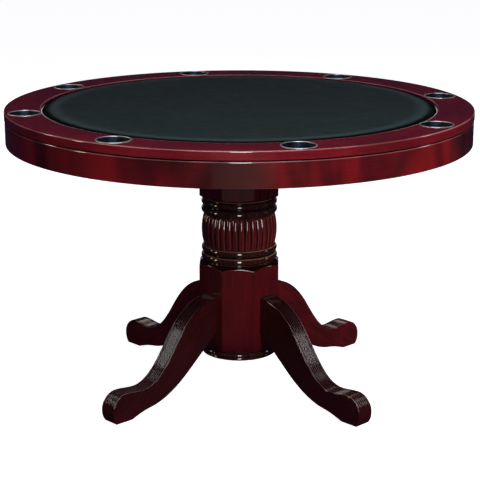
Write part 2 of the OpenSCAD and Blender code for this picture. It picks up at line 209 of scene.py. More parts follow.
class Nodes:
    """A short way to add and join shader nodes in one material."""

    def __init__(self, name):
        self.material = bpy.data.materials.new(name)
        self.material.use_nodes = True
        self.tree = self.material.node_tree
        self.shader = self.tree.nodes["Principled BSDF"]

    def add(self, kind, inputs=(), **settings):
        node = self.tree.nodes.new("ShaderNode" + kind)
        for key, value in settings.items():
            setattr(node, key, value)
        for key, value in dict(inputs).items():
            if hasattr(value, "is_output"):
                self.tree.links.new(value, node.inputs[key])
            else:
                node.inputs[key].default_value = value
        return node

    def math(self, operation, a, b=0.0, clamp=False):
        return self.add("Math", {0: a, 1: b}, operation=operation, use_clamp=clamp).outputs[0]

    def stretch(self, scale, offset=0.0, turn=(0, 0, 0), radial=False):
        """Object coordinates turned and scaled. radial adds the distance from the Z axis to Z."""
        where = self.add("TexCoord").outputs["Object"]
        if radial:
            split = self.add("SeparateXYZ", {0: where})
            flat = self.add("CombineXYZ", {0: split.outputs[0], 1: split.outputs[1]})
            reach = self.add("VectorMath", {0: flat.outputs[0]}, operation="LENGTH").outputs["Value"]
            lift = self.math("ADD", split.outputs[2], reach)
            where = self.add("CombineXYZ", {0: split.outputs[0], 1: split.outputs[1], 2: lift}).outputs[0]
        if any(turn):
            where = self.add("Mapping", {0: where, "Rotation": turn}).outputs[0]
        return self.add("Mapping", {0: where, "Location": (offset, offset * 0.7, offset * 1.3),
                                    "Scale": scale}).outputs[0]

    def noise(self, where, scale, detail=4.0, rough=0.55, distortion=0.0):
        return self.add("TexNoise", {"Vector": where, "Scale": scale, "Detail": detail,
                                     "Roughness": rough, "Distortion": distortion}).outputs["Fac"]

    def spread(self, value, low, high, to_low=0.0, to_high=1.0):
        return self.add("MapRange", {0: value, 1: low, 2: high, 3: to_low, 4: to_high}, clamp=True).outputs[0]

    def mix(self, share, a, b, blend="MIX"):
        node = self.add("Mix", data_type="RGBA", blend_type=blend)
        for key, value in ((0, share), (6, a), (7, b)):
            if hasattr(value, "is_output"):
                self.tree.links.new(value, node.inputs[key])
            else:
                node.inputs[key].default_value = value
        return node.outputs[2]

    def mark(self, key):
        """A value kept on the mesh's points, 0 where the mesh has none."""
        return self.add("Attribute", attribute_type="GEOMETRY", attribute_name=key).outputs["Fac"]

    def bump(self, height, strength, distance):
        return self.add("Bump", {"Height": height, "Strength": strength, "Distance": distance}).outputs[0]

    def set(self, **sockets):
        for key, value in sockets.items():
            socket = self.shader.inputs[key.replace("_", " ")]
            if hasattr(value, "is_output"):
                self.tree.links.new(value, socket)
            else:
                socket.default_value = value
        return self.material


# ---- Materials ----

def lacquered(name, light, mid, dark, grain, turn=(0, 0, 0), radial=False, offset=0.0, figure=0.35,
              wear_and_highlight=0.35, highlight_tone=None, painted_shade_on_slopes=False):
    """Stained mahogany under gloss lacquer. grain is the scale along X, Y and Z, small along the fibres.

    Painted shade darkens the hollows and the marked seams and grooves. Ridges are lightened to the given
    tone, part wear and part painted highlight, and marked lines get painted highlights in that tone.
    """
    n = Nodes(name)
    along = n.stretch(grain, offset, turn, radial)
    streaks = n.noise(along, 9.0, 7.0, 0.62, 0.35)
    fibres = n.noise(along, 46.0, 3.0, 0.6)
    pores = n.noise(along, 120.0, 2.0, 0.5)
    clouds = n.noise(n.stretch((1, 1, 0.5), offset + 4.0), 5.0, 3.0, 0.5, 0.6)
    age = n.noise(n.stretch((1, 1, 0.3), offset + 12.0), 4.0, 2.0, 0.5)
    tone = n.math("ADD", n.math("MULTIPLY", streaks, 0.62), n.math("MULTIPLY", fibres, 0.38))
    body = n.mix(n.spread(tone, 0.36, 0.64), dark, mid)
    lit = n.mix(n.spread(clouds, 0.50, 0.72, 0.0, figure), body, light)
    browned = n.mix(n.spread(age, 0.50, 0.66, 0.0, 0.75 * figure), lit, BROWN)
    shaded = n.mix(n.spread(clouds, 0.52, 0.36, 0.0, figure), browned, LOW)
    # Painted shade: hollows found by the mesh's pointiness and the marked seams and grooves are darkened
    # nearly to black.
    bend = n.add("NewGeometry").outputs["Pointiness"]
    hollow = n.math("MAXIMUM", n.spread(bend, 0.495, 0.45), n.mark("painted_shade"))
    with_painted_shade = n.mix(n.math("MULTIPLY", hollow, 0.93), shaded, PORE_AND_SHADE_DARK)
    # Painted highlights: ridges are lightened, part wear and part painted highlight, and marked lines get
    # painted highlight lines.
    ridge = n.math("MULTIPLY", n.spread(bend, 0.52, 0.60), wear_and_highlight)
    highlight_share = n.math("MULTIPLY", n.mark("painted_highlight"), n.spread(clouds, 0.35, 0.6, 0.25, 0.9))
    painted_highlight = n.mix(n.math("MAXIMUM", ridge, highlight_share), with_painted_shade, highlight_tone or light)
    # Painted shade: faces that turn upwards are darkened.
    if painted_shade_on_slopes:
        facing_up = n.add("SeparateXYZ", {0: n.add("TexCoord").outputs["Normal"]}).outputs[2]
        painted_highlight = n.mix(n.spread(facing_up, 0.5, 0.7, 0.0, 0.9), painted_highlight, PORE_AND_SHADE_DARK)
    colour = n.mix(n.spread(pores, 0.62, 0.74, 0.0, 0.55), painted_highlight, PORE_AND_SHADE_DARK)
    height = n.math("ADD", n.math("MULTIPLY", fibres, 0.7), n.math("MULTIPLY", pores, 0.3))
    smear = n.noise(n.stretch((1, 1, 1), offset + 9.0), 26.0, 4.0, 0.6)
    n.set(Base_Color=colour, Roughness=n.spread(smear, 0.3, 0.7, 0.30, 0.44),
          Normal=n.bump(height, 0.16, 0.0006))
    coat = n.bump(n.noise(n.stretch((1, 1, 1), offset), 38.0, 2.0, 0.5), 0.03, 0.001)
    return n.set(Coat_Weight=0.9, Coat_Roughness=0.08, Coat_IOR=1.5, Coat_Normal=coat,
                 Specular_IOR_Level=0.0)


def vinyl_material():
    """Soft dark vinyl: a fine pebbled grain, cloudy colour and a low sheen, with painted highlight and
    painted shadow at the edge.
    """
    n = Nodes("vinyl")
    flat = n.stretch((1, 1, 1))
    clouds = n.noise(n.stretch((1, 3.2, 1), 2.0), 5.0, 5.0, 0.6, 0.5)
    pebbles = n.add("TexVoronoi", {"Vector": flat, "Scale": 420.0, "Randomness": 0.9},
                    feature="DISTANCE_TO_EDGE").outputs["Distance"]
    fine = n.noise(flat, 700.0, 2.0, 0.5)
    crease = n.noise(n.stretch((1, 4.0, 1), 7.0), 30.0, 4.0, 0.6, 0.4)
    colour = n.mix(n.spread(clouds, 0.3, 0.7), (0.0130, 0.0215, 0.0215, 1), (0.0205, 0.0325, 0.0325, 1))
    colour = n.mix(n.spread(crease, 0.45, 0.75, 0.0, 0.4), colour, (0.024, 0.036, 0.036, 1))
    # Painted highlight band and painted shadow from the pad's marks.
    colour = n.mix(n.math("MULTIPLY", n.mark("painted_highlight"), 0.9), colour, (0.040, 0.062, 0.062, 1))
    colour = n.mix(n.math("MULTIPLY", n.mark("painted_shade"), 0.96), colour, (0.001, 0.001, 0.001, 1))
    grain = n.math("ADD", n.spread(pebbles, 0.0, 0.14), n.math("MULTIPLY", fine, 0.35))
    return n.set(Base_Color=colour, Roughness=n.spread(crease, 0.3, 0.7, 0.46, 0.60),
                 Normal=n.bump(grain, 0.20, 0.0004), Specular_IOR_Level=0.05)


def cup_steel():
    """Drawn stainless steel: a satin inside painted nearly black as shade and dark bluish reflection, and a
    rolled rim polished bright.
    """
    n = Nodes("polished_steel")
    where = n.stretch((1, 1, 1))
    marks = n.noise(where, 60.0, 4.0, 0.6)
    rings = n.noise(n.stretch((1, 1, 40)), 30.0, 2.0, 0.5)
    height = n.add("SeparateXYZ", {0: n.add("TexCoord").outputs["Object"]}).outputs[2]
    rim = n.spread(height, TOP_Z - 0.6 * MM, TOP_Z + 0.5 * MM)
    # Painted shade and dark bluish reflection: the inside is coloured nearly black.
    inside = n.mix(n.spread(marks, 0.3, 0.7), (0.020, 0.030, 0.046, 1), (0.034, 0.048, 0.070, 1))
    bright = n.mix(n.spread(marks, 0.3, 0.7), (0.54, 0.58, 0.62, 1), (0.66, 0.70, 0.74, 1))
    return n.set(Base_Color=n.mix(rim, inside, bright), Metallic=1.0,
                 Roughness=n.spread(marks, 0.3, 0.7, 0.40, 0.52), Normal=n.bump(rings, 0.05, 0.0002))


def plated_steel(name, light, dark):
    """Plain plated hardware: slightly uneven plating with dull patches."""
    n = Nodes(name)
    patches = n.noise(n.stretch((1, 1, 1)), 180.0, 4.0, 0.6)
    return n.set(Base_Color=n.mix(n.spread(patches, 0.35, 0.65), light, dark), Metallic=1.0,
                 Roughness=n.spread(patches, 0.3, 0.7, 0.30, 0.5), Normal=n.bump(patches, 0.1, 0.0003))


def bare_wood(name, light, dark, grain, radial=False):
    """Sanded, unfinished wood with plain straight grain."""
    n = Nodes(name)
    along = n.stretch(grain, 1.7, radial=radial)
    streaks = n.noise(along, 8.0, 6.0, 0.6, 0.5)
    fibres = n.noise(along, 60.0, 3.0, 0.6)
    tone = n.math("ADD", n.math("MULTIPLY", streaks, 0.7), n.math("MULTIPLY", fibres, 0.3))
    return n.set(Base_Color=n.mix(n.spread(tone, 0.35, 0.65), dark, light),
                 Roughness=n.spread(fibres, 0.3, 0.7, 0.55, 0.75), Normal=n.bump(fibres, 0.25, 0.0005))


def moulded_nylon():
    n = Nodes("nylon")
    grain = n.noise(n.stretch((1, 1, 1)), 900.0, 2.0, 0.5)
    return n.set(Base_Color=n.mix(grain, (0.012, 0.012, 0.012, 1), (0.03, 0.03, 0.03, 1)),
                 Roughness=n.spread(grain, 0.3, 0.7, 0.42, 0.58), Normal=n.bump(grain, 0.15, 0.0002))


BRIGHT = (0.270, 0.0110, 0.0140, 1)
CRIMSON = (0.200, 0.0110, 0.0200, 1)
RED = (0.140, 0.0105, 0.0125, 1)
DEEP = (0.056, 0.0068, 0.0085, 1)
DUSK = (0.042, 0.0052, 0.0072, 1)
LOW = (0.022, 0.0042, 0.0050, 1)
BLACK_RED = (0.009, 0.0020, 0.0024, 1)
BROWN = (0.060, 0.0150, 0.0095, 1)
UMBER = (0.050, 0.0170, 0.0150, 1)
MAROON = (0.110, 0.0055, 0.0078, 1)
PORE_AND_SHADE_DARK = (0.004, 0.0014, 0.0014, 1)
HIGHLIGHT_ROSE = (0.42, 0.25, 0.25, 1)
TAN_WEAR_AND_HIGHLIGHT = (0.30, 0.15, 0.075, 1)

wood_ring = lacquered("ring_lacquer", BRIGHT, CRIMSON, MAROON, (1.2, 1.2, 14), radial=True,
                      figure=0.25, wear_and_highlight=0, highlight_tone=HIGHLIGHT_ROSE)
wood_apron = lacquered("apron_lacquer", BRIGHT, MAROON, DEEP, (1.0, 1.0, 16), offset=6.6, figure=0.85, wear_and_highlight=0,
                       highlight_tone=HIGHLIGHT_ROSE)
wood_block = lacquered("block_lacquer", RED, MAROON, LOW, (16, 16, 1.0), offset=5.1, figure=0.5,
                       painted_shade_on_slopes=True)
wood_barrel = lacquered("barrel_lacquer", BRIGHT, RED, DEEP, (12, 12, 1.5), offset=7.7, figure=0.3, wear_and_highlight=0.5,
                        highlight_tone=TAN_WEAR_AND_HIGHLIGHT)
wood_turned = lacquered("turned_lacquer", DEEP, UMBER, BLACK_RED, (12, 12, 1.5), offset=7.7, figure=0.3,
                        wear_and_highlight=0.6, highlight_tone=TAN_WEAR_AND_HIGHLIGHT)
vinyl = vinyl_material()
steel = cup_steel()
zinc = plated_steel("plated_steel", (0.62, 0.61, 0.56, 1), (0.42, 0.42, 0.40, 1))
brass = plated_steel("brass", (0.72, 0.52, 0.20, 1), (0.55, 0.38, 0.14, 1))
nylon = moulded_nylon()
rough_x = bare_wood("bare_wood_x", (0.52, 0.36, 0.21, 1), (0.36, 0.22, 0.11, 1), (1, 14, 14))
rough_y = bare_wood("bare_wood_y", (0.52, 0.36, 0.21, 1), (0.36, 0.22, 0.11, 1), (14, 1, 14))
ply = bare_wood("plywood", (0.56, 0.41, 0.26, 1), (0.44, 0.30, 0.17, 1), (1.5, 12, 60))


# ---- Top ----

def rail_piece():
    roll, edge, seam = 10 * MM, 3 * MM, 3.6 * MM
    # Painted shade on the inner wall and the inner roll's lower part, in the groove beside the pad.
    profile = [(WELL_R, DECK_Z, -1.0), (WELL_R, TOP_Z - roll - 6 * MM, -1.0)]
    profile += arc(WELL_R + roll, TOP_Z - roll, roll, 180, 126, 9, marked=(130, 181), mark=-1.0)
    # Painted highlight line along the top of the inner roll.
    profile += arc(WELL_R + roll, TOP_Z - roll, roll, 120, 90, 6, marked=(97, 119), mark=0.75)
    profile += [(WELL_R + roll + 0.5 * MM, TOP_Z), (TABLE_R - 84 * MM, TOP_Z), (TABLE_R - 50 * MM, TOP_Z),
                (TABLE_R - 12 * MM, TOP_Z), (TABLE_R - edge - 0.5 * MM, TOP_Z)]
    # Painted highlight line along the outer top edge.
    profile += arc(TABLE_R - edge, TOP_Z - edge, edge, 90, 0, 8, marked=(20, 80), mark=0.6)
    profile += [(TABLE_R, TOP_Z - edge - 0.5 * MM), (TABLE_R, DECK_Z + seam + 0.5 * MM)]
    # Painted shadow in the seam over the apron.
    profile += arc(TABLE_R - seam, DECK_Z + seam, seam, 0, -90, 8, marked=(-91, -20), mark=-1.0)
    profile += [(TABLE_R - 6 * MM, DECK_Z, -1.0), (TABLE_R - 50 * MM, DECK_Z)]
    ring = lathe("rail", profile, steps=288)
    holes = []
    for i in range(CUP_COUNT):
        lo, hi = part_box(f"cup_holder_{i + 1}")
        bpy.ops.mesh.primitive_cylinder_add(vertices=64, radius=40.5 * MM, depth=0.1,
                                            location=((lo.x + hi.x) / 2, (lo.y + hi.y) / 2, TOP_Z - 0.01))
        holes.append(bpy.context.object)
    cut(ring, holes)
    shade(ring.data)
    return place(ring, "top", wood_ring, "red_mahogany", "rail_ring")


def pad_skin():
    """The vinyl's skin before it is tightened: an even disc, a rolled edge and a short skirt."""
    around, inner = 224, 0.40
    side = around // 4
    points, faces, ring = [], [], []
    cell = {}
    for i in range(side + 1):
        for j in range(side + 1):
            u, v = 2 * i / side - 1, 2 * j / side - 1
            if abs(u) >= abs(v):
                r, a = u, (math.pi / 4 * v / u if u else 0.0)
            else:
                r, a = v, math.pi / 2 - math.pi / 4 * u / v
            cell[i, j] = len(points)
            points.append((inner * r * math.cos(a), inner * r * math.sin(a)))
    for i in range(side):
        for j in range(side):
            faces.append((cell[i, j], cell[i + 1, j], cell[i + 1, j + 1], cell[i, j + 1]))
    edge = [k for (i, j), k in cell.items() if i in (0, side) or j in (0, side)]
    edge.sort(key=lambda k: math.atan2(points[k][1], points[k][0]))
    angles = [math.atan2(points[k][1], points[k][0]) for k in edge]
    roll = 10 * MM
    crown = VINYL_HI.z - PAD_RISE
    run = [(inner + (PAD_R - roll - inner) * (1 - (1 - t / 16) ** 1.25), crown) for t in range(1, 17)]
    run += arc(PAD_R - roll, crown - roll, roll, 80, 0, 8)
    run += [(PAD_R, BOARD_TOP_Z - 1 * MM), (PAD_R, DECK_Z + 0.4 * MM)]
    out = [(x, y, crown) for x, y in points]
    ring = edge
    for r, z in run:
        fresh = []
        for a in angles:
            fresh.append(len(out))
            out.append((r * math.cos(a), r * math.sin(a), z))
        for k in range(around):
            m = (k + 1) % around
            faces.append((ring[k], fresh[k], fresh[m], ring[m]))
        ring = fresh
    return out, faces


def tighten(obj, limit):
    """Presses the foam up under the vinyl with a cloth simulation. No point moves past limit."""
    start = np.array([v.co for v in obj.data.vertices])
    held = obj.vertex_groups.new(name="held")
    held.add([i for i, p in enumerate(start) if p[2] < BOARD_TOP_Z + 1 * MM], 1.0, "ADD")
    cloth = obj.modifiers.new("cloth", "CLOTH")
    settings = cloth.settings
    settings.quality = 6
    settings.mass = 0.4
    settings.tension_stiffness = settings.compression_stiffness = 60
    settings.shear_stiffness = 30
    settings.bending_stiffness = 8
    settings.use_pressure = True
    settings.uniform_pressure_force = 0.06
    settings.effector_weights.gravity = 0
    settings.vertex_group_mass = "held"
    cloth.collision_settings.use_collision = False
    scene = bpy.context.scene
    cloth.point_cache.frame_start, cloth.point_cache.frame_end = 1, 14
    for step in range(1, 15):
        scene.frame_set(step)
    graph = bpy.context.evaluated_depsgraph_get()
    moved = np.array([v.co for v in obj.evaluated_get(graph).data.vertices])
    obj.modifiers.clear()
    scene.frame_set(1)
    shift = moved - start
    size = np.linalg.norm(shift, axis=1, keepdims=True)
    shift *= limit * np.tanh(size / limit) / np.maximum(size, 1e-9)
    obj.data.vertices.foreach_set("co", (start + shift).ravel())
    obj.data.update()


def playing_pad():
    points, faces = pad_skin()
    mesh = bpy.data.meshes.new("playing_pad")
    mesh.from_pydata(points, [], faces)
    reach = np.array([math.hypot(x, y) for x, y, _ in points])
    # Painted shadow on the pad's outer roll and a painted highlight band just inside it.
    shadow = np.clip((reach - PAD_R + 15 * MM) / (2.5 * MM), 0, 1)
    painted_highlight_band = np.exp(-((reach - PAD_R + 29 * MM) / (13 * MM)) ** 2)
    for key, values in (("painted_shade", shadow), ("painted_highlight", painted_highlight_band)):
        mesh.attributes.new(key, "FLOAT", "POINT").data.foreach_set("value", values.astype(np.float32))
    work = bmesh.new()
    work.from_mesh(mesh)
    bmesh.ops.recalc_face_normals(work, faces=work.faces)
    work.to_mesh(mesh)
    work.free()
    pad = link("playing_pad", mesh)
    tighten(pad, PAD_RISE)
    smooth = pad.modifiers.new("smooth", "SUBSURF")
    smooth.levels = smooth.render_levels = 1
    bake_modifiers(pad)
    shade(pad.data, 60)
    return place(pad, "top", vinyl, "vinyl", "vinyl_cover", "foam_pad")


def cup_piece(i):
    """A drawn cup with a rounded flange and a mouth that narrows inside the rail."""
    node = f"cup_holder_{i}"
    lo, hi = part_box(node)
    body, mouth, skin, foot, lip = 37 * MM, 40 * MM, 0.8 * MM, 6 * MM, 0.9 * MM
    low, rim_r = lo.z, (hi.x - lo.x) / 2
    shoulder = DECK_Z + 1.5 * MM
    top = TOP_Z + 0.5 * MM
    profile = [(0, low + skin + 0.6 * MM), (12 * MM, low + skin + 0.6 * MM), (14 * MM, low + skin)]
    profile += arc(body - skin - foot, low + skin + foot, foot, -90, 0, 6)
    profile += [(body - skin, shoulder)]
    profile += arc(mouth - skin - 4 * MM, shoulder + 6.5 * MM, 4 * MM, -20, 0, 4)
    profile += [(mouth - skin, top - 1 * MM)]
    profile += arc(mouth - skin + lip, top, lip, 180, 100, 8)
    profile += arc(rim_r - lip, top - 0.2 * MM, lip, 80, -60, 10)
    profile += [(mouth + 0.3 * MM, TOP_Z + 0.1 * MM), (mouth, TOP_Z - 1.2 * MM), (mouth, shoulder + 5 * MM),
                (body, shoulder)]
    profile += arc(body - foot, low + foot, foot, 0, -90, 6)
    profile += [(0, low)]
    cup = lathe(f"cup_{i}_shell", profile, steps=72, sharp_angle=50)
    cup.location = ((lo.x + hi.x) / 2, (lo.y + hi.y) / 2, 0)
    return place(cup, f"cup_{i}", steel, "polished_steel", node)


# ---- Apron ----

def apron_piece():
    outer, inner = APRON_HI.x, APRON_HI.x - 11 * MM
    low, high, top, sole = APRON_LO.z, APRON_HI.z, 3.6 * MM, 1.8 * MM
    # Painted shadow in the seam under the rail.
    profile = [(inner, low), (inner, high), (outer - top - 1 * MM, high, -1.0)]
    profile += arc(outer - top, high - top, top, 90, 56, 3, marked=(50, 91), mark=-1.0)
    # Painted highlight lines along the top and bottom edges.
    profile += arc(outer - top, high - top, top, 45, 0, 4, marked=(5, 35), mark=0.35)
    profile += [(outer, high - top - 0.5 * MM), (outer, low + sole + 0.5 * MM)]
    profile += arc(outer - sole, low + sole, sole, 0, -90, 6, marked=(-60, -10), mark=0.25)
    hoop = lathe("apron", profile, steps=288)
    return place(hoop, "pedestal", wood_apron, "red_mahogany", "apron_hoop")


# ---- Column ----

def upper_block_piece():
    rise, ease, bore = 0.5, 1.2 * MM, COLUMN_BORE
    cone_r, cone_z = 96 * MM, UPPER_LO.z
    half = UPPER_HI.x

    def profile(radius):
        edge = cone_z + rise * (radius - cone_r)
        tilt = math.atan(rise)
        slope_in = (radius - ease * math.cos(tilt), edge - ease * math.sin(tilt))
        points = [(bore, UPPER_HI.z), (radius - ease, UPPER_HI.z), (radius, UPPER_HI.z - ease)]
        points += [(radius, UPPER_HI.z - 2 * ease), (radius, edge + 2 * ease)]
        points += [(radius, edge + ease), (radius - 0.18 * ease, edge + 0.35 * ease),
                   (radius - 0.5 * ease, edge - 0.12 * ease), slope_in]
        points += [(radius - 2 * ease * math.cos(tilt), edge - 2 * ease * math.sin(tilt))]
        points += [(cone_r, cone_z), (bore, cone_z)]
        return points
    block = eight_sided("capital", 2 * half, profile)
    return place(block, "pedestal", wood_block, "red_mahogany", "upper_block")


def lower_block_piece():
    fall, ease, bore = 0.75, 1.3 * MM, COLUMN_BORE
    neck_r, neck_z = 98 * MM, LOWER_HI.z
    half = LOWER_HI.x

    def profile(radius):
        edge = neck_z - fall * (radius - neck_r)
        tilt = math.atan(fall)
        slope_in = (radius - ease * math.cos(tilt), edge + ease * math.sin(tilt))
        points = [(bore, LOWER_LO.z), (radius - ease, LOWER_LO.z),
                  (radius - 0.3 * ease, LOWER_LO.z + 0.3 * ease), (radius, LOWER_LO.z + ease)]
        points += [(radius, LOWER_LO.z + 2 * ease)]
        points += [(radius, LOWER_LO.z + (edge - LOWER_LO.z) * k / 12) for k in range(1, 12)]
        points += [(radius, edge - 2 * ease)]
        points += [(radius, edge - ease), (radius - 0.15 * ease, edge - 0.35 * ease),
                   (radius - 0.45 * ease, edge + 0.1 * ease), slope_in]
        points += [(radius - 2 * ease * math.cos(tilt), edge + 2 * ease * math.sin(tilt))]
        points += [(neck_r, neck_z), (bore, neck_z)]
        return points
    block = eight_sided("lower_column", 2 * half, profile)
    return place(block, "pedestal", wood_block, "red_mahogany", "lower_block")


def upper_beads_piece():
    low, high = UPPER_BEADS[0].z, UPPER_BEADS[1].z
    bore = COLUMN_BORE
    profile = [(bore, low), (92.5 * MM, low), (92.5 * MM, low + 2.2 * MM)]
    profile += arc(91.2 * MM, low + 12.3 * MM, 10 * MM, -78, 78, 16)
    profile += [(92.6 * MM, low + 23.6 * MM)]
    profile += arc(93 * MM, low + 33.5 * MM, 8 * MM, -76, 80, 14)
    profile += [(93.6 * MM, low + 42.2 * MM), (95 * MM, low + 44 * MM), (95.5 * MM, high), (bore, high)]
    ring = lathe("upper_rings", profile, sharp_angle=40)
    return place(ring, "pedestal", wood_turned, "dark_mahogany", "upper_beads")


def lower_beads_piece():
    low, high = LOWER_BEADS[0].z, LOWER_BEADS[1].z
    bore = COLUMN_BORE
    profile = [(bore, low), (95.5 * MM, low), (95.5 * MM, low + 0.6 * MM)]
    # Painted highlight: a tan line on the upper side of each bead.
    profile += arc(91.7 * MM, low + 10.2 * MM, 10 * MM, -68, 80, 18, marked=(40, 62))
    profile += [(92.4 * MM, low + 21.2 * MM)]
    profile += arc(91.4 * MM, low + 31.3 * MM, 9.5 * MM, -80, 74, 18, marked=(40, 62))
    profile += [(93.2 * MM, high), (bore, high)]
    ring = lathe("lower_rings", profile, sharp_angle=40)
    return place(ring, "pedestal", wood_turned, "dark_mahogany", "lower_beads")


def barrel_piece():
    low, high = BARREL[0].z, BARREL[1].z
    facets, rows, bore = 16, 56, COLUMN_BORE
    crest_end, bulge, depth, tip = 94.8 * MM, 5.9 * MM, 3.8 * MM, 7 * MM
    share = np.arange(REED_COUNT * facets) % facets / facets
    reed = np.abs(np.sin(np.pi * share)) ** 0.85
    turns = np.arange(REED_COUNT * facets) * TURN / (REED_COUNT * facets)
    heights = low + (high - low) * (0.5 - 0.5 * np.cos(np.pi * np.arange(rows) / (rows - 1)))
    lines, painted_shade, painted_highlight = [], [], []
    for z in heights:
        v = 2 * (z - low) / (high - low) - 1
        near = min(z - low, high - z) / tip
        rounded = math.sqrt(max(0.0, 1 - (1 - min(1.0, near)) ** 2))
        raised = reed * rounded
        r = crest_end + bulge * (1 - v * v) - depth * (1 - raised)
        lines.append(np.stack([r * np.cos(turns), r * np.sin(turns), np.full_like(r, z)], axis=-1))
        # Painted shade in the grooves and painted highlight lines on the reeds' flanks.
        painted_shade.append(np.clip(1.1 - 1.7 * raised, 0, 1))
        painted_highlight.append(0.3 * np.exp(-((raised - 0.72) / 0.10) ** 2))
    # Both ends are painted dark as shade.
    for z in (high, low):
        lines.append(np.stack([bore * np.cos(turns), bore * np.sin(turns), np.full_like(turns, z)], axis=-1))
        painted_shade.append(np.ones_like(turns))
        painted_highlight.append(np.zeros_like(turns))
    barrel = grid_mesh("barrel", np.array(lines), sharp_angle=60,
                       marks={"painted_shade": np.array(painted_shade), "painted_highlight": np.array(painted_highlight)})
    return place(barrel, "pedestal", wood_barrel, "red_mahogany", "reeded_barrel")


def base_piece():
    low, high = BASE[0].z, BASE[1].z
    profile = [(0, low + 13 * MM), (18 * MM, low + 13 * MM), (18 * MM, low)]
    profile += arc(98.5 * MM, low + 3 * MM, 3 * MM, -90, 0, 5)
    profile += [(101.5 * MM, low + 3.6 * MM), (101.5 * MM, low + 6.2 * MM), (100.6 * MM, low + 7.4 * MM)]
    profile += arc(98.5 * MM, low + 13.5 * MM, 6.4 * MM, -66, 76, 14)
    profile += [(98.6 * MM, low + 20.6 * MM), (98 * MM, high), (0, high)]
    disc = lathe("base", profile, sharp_angle=40)
    return place(disc, "pedestal", wood_turned, "red_mahogany", "base_disc")


# ---- Legs ----

SHOULDER = [(0, 264), (55, 261), (97, 233), (141.5, 166)]
INSTEP = [(141.5, 166), (172.5, 121), (206.5, 70), (254.5, 70)]
TOE = [(254.5, 70), (274.5, 70), (289.5, 75), (312.5, 75)]
NOSE = (312.5, 31)
NOSE_R = 44
TOE_DROP = [(356.5, 31), (356.5, 19), (353.5, 8), (345.5, 0)]
HEEL = [(294.5, 0), (266.5, 10), (254.5, 14), (224.5, 18)]
ARCH = [(224.5, 18), (179.5, 26), (135.5, 53), (101.5, 81.5)]
JOINT_LOW = (0, 167)
REED_END = 30
# Height above which the legs' painted highlights fade out.
HIGHLIGHT_TOP = 255 * MM
HIGHLIGHT_FADE = 60 * MM


def bezier(c, steps):
    """Points on a cubic curve, without its last point."""
    t = np.arange(steps)[:, None] / steps
    p = np.array(c, float)
    return ((1 - t) ** 3 * p[0] + 3 * (1 - t) ** 2 * t * p[1] + 3 * (1 - t) * t ** 2 * p[2] + t ** 3 * p[3])


def line(a, b, steps):
    t = np.arange(steps)[:, None] / steps
    return np.array(a, float) * (1 - t) + np.array(b, float) * t


def leg_line():
    """The leg's outline and how far each point is reeded, from 0 to 1."""
    nose = np.array(arc(*NOSE, NOSE_R, 90, 0, 26)[:-1])
    parts = [bezier(SHOULDER, 34), bezier(INSTEP, 36), bezier(TOE, 14), nose, bezier(TOE_DROP, 8),
             line(TOE_DROP[-1], HEEL[0], 6), bezier(HEEL, 14), bezier(ARCH, 26),
             line(ARCH[-1], JOINT_LOW, 16), line(JOINT_LOW, SHOULDER[0], 8)]
    outline = np.concatenate(parts)
    reeded = np.zeros(len(outline))
    top = sum(len(p) for p in parts[:3])
    reeded[:top] = 1
    angles = 90 - 90 * np.arange(26) / 26
    reeded[top:top + 26] = np.clip((angles - REED_END) / 7, 0, 1)
    return outline * MM, reeded, len(outline) - 8


def leg_sections():
    """Places across the leg: how deep the face lies with and without reeds, the painted shade in the grooves
    and the painted highlight lines.
    """
    half, bead, groove, depth, ease = LEG_W / 2, 6.8 * MM, 2.2 * MM, 2.4 * MM, 1.6 * MM
    reeds = 5
    reed = (LEG_W - 2 * bead - (reeds + 1) * groove) / reeds
    places = []

    def rounded(start, width, steps, sink):
        for i in range(steps + 1):
            t = -math.cos(math.pi * i / steps)
            # Painted shade in the grooves and on the steep sides of the rounded reeds and beads.
            edge = max(0.0, abs(t) - 0.35) / 0.65
            places.append((start + width * (t + 1) / 2, sink * (1 - math.sqrt(max(0.0, 1 - t * t))), edge))
    x = -half
    rounded(x, bead, 10, 2.2 * MM)
    x += bead
    for i in range(reeds):
        places.append((x + groove / 2, depth, 1.0))
        x += groove
        rounded(x, reed, 8, 1.8 * MM)
        x += reed
    places.append((x + groove / 2, depth, 1.0))
    x += groove
    rounded(x, bead, 10, 2.2 * MM)
    s, with_reeds, painted_shade = np.array(places).T
    painted_shade[[0, -1]] = 0
    crowns = [-half + bead + groove + reed / 2 + k * (reed + groove) for k in range(reeds)]
    # Painted highlight lines along both edge beads and each reed's crown.
    painted_highlight = 0.95 * np.exp(-((np.abs(s) - half + 0.42 * bead) / (1.1 * MM)) ** 2)
    painted_highlight += np.sum([0.5 * np.exp(-((s - c) / (0.7 * MM)) ** 2) for c in crowns], axis=0)
    near = np.clip((half - np.abs(s)) / ease, 0, 1)
    plain = ease * (1 - np.sqrt(1 - (1 - near) ** 2))
    return s, with_reeds, plain, painted_shade, painted_highlight


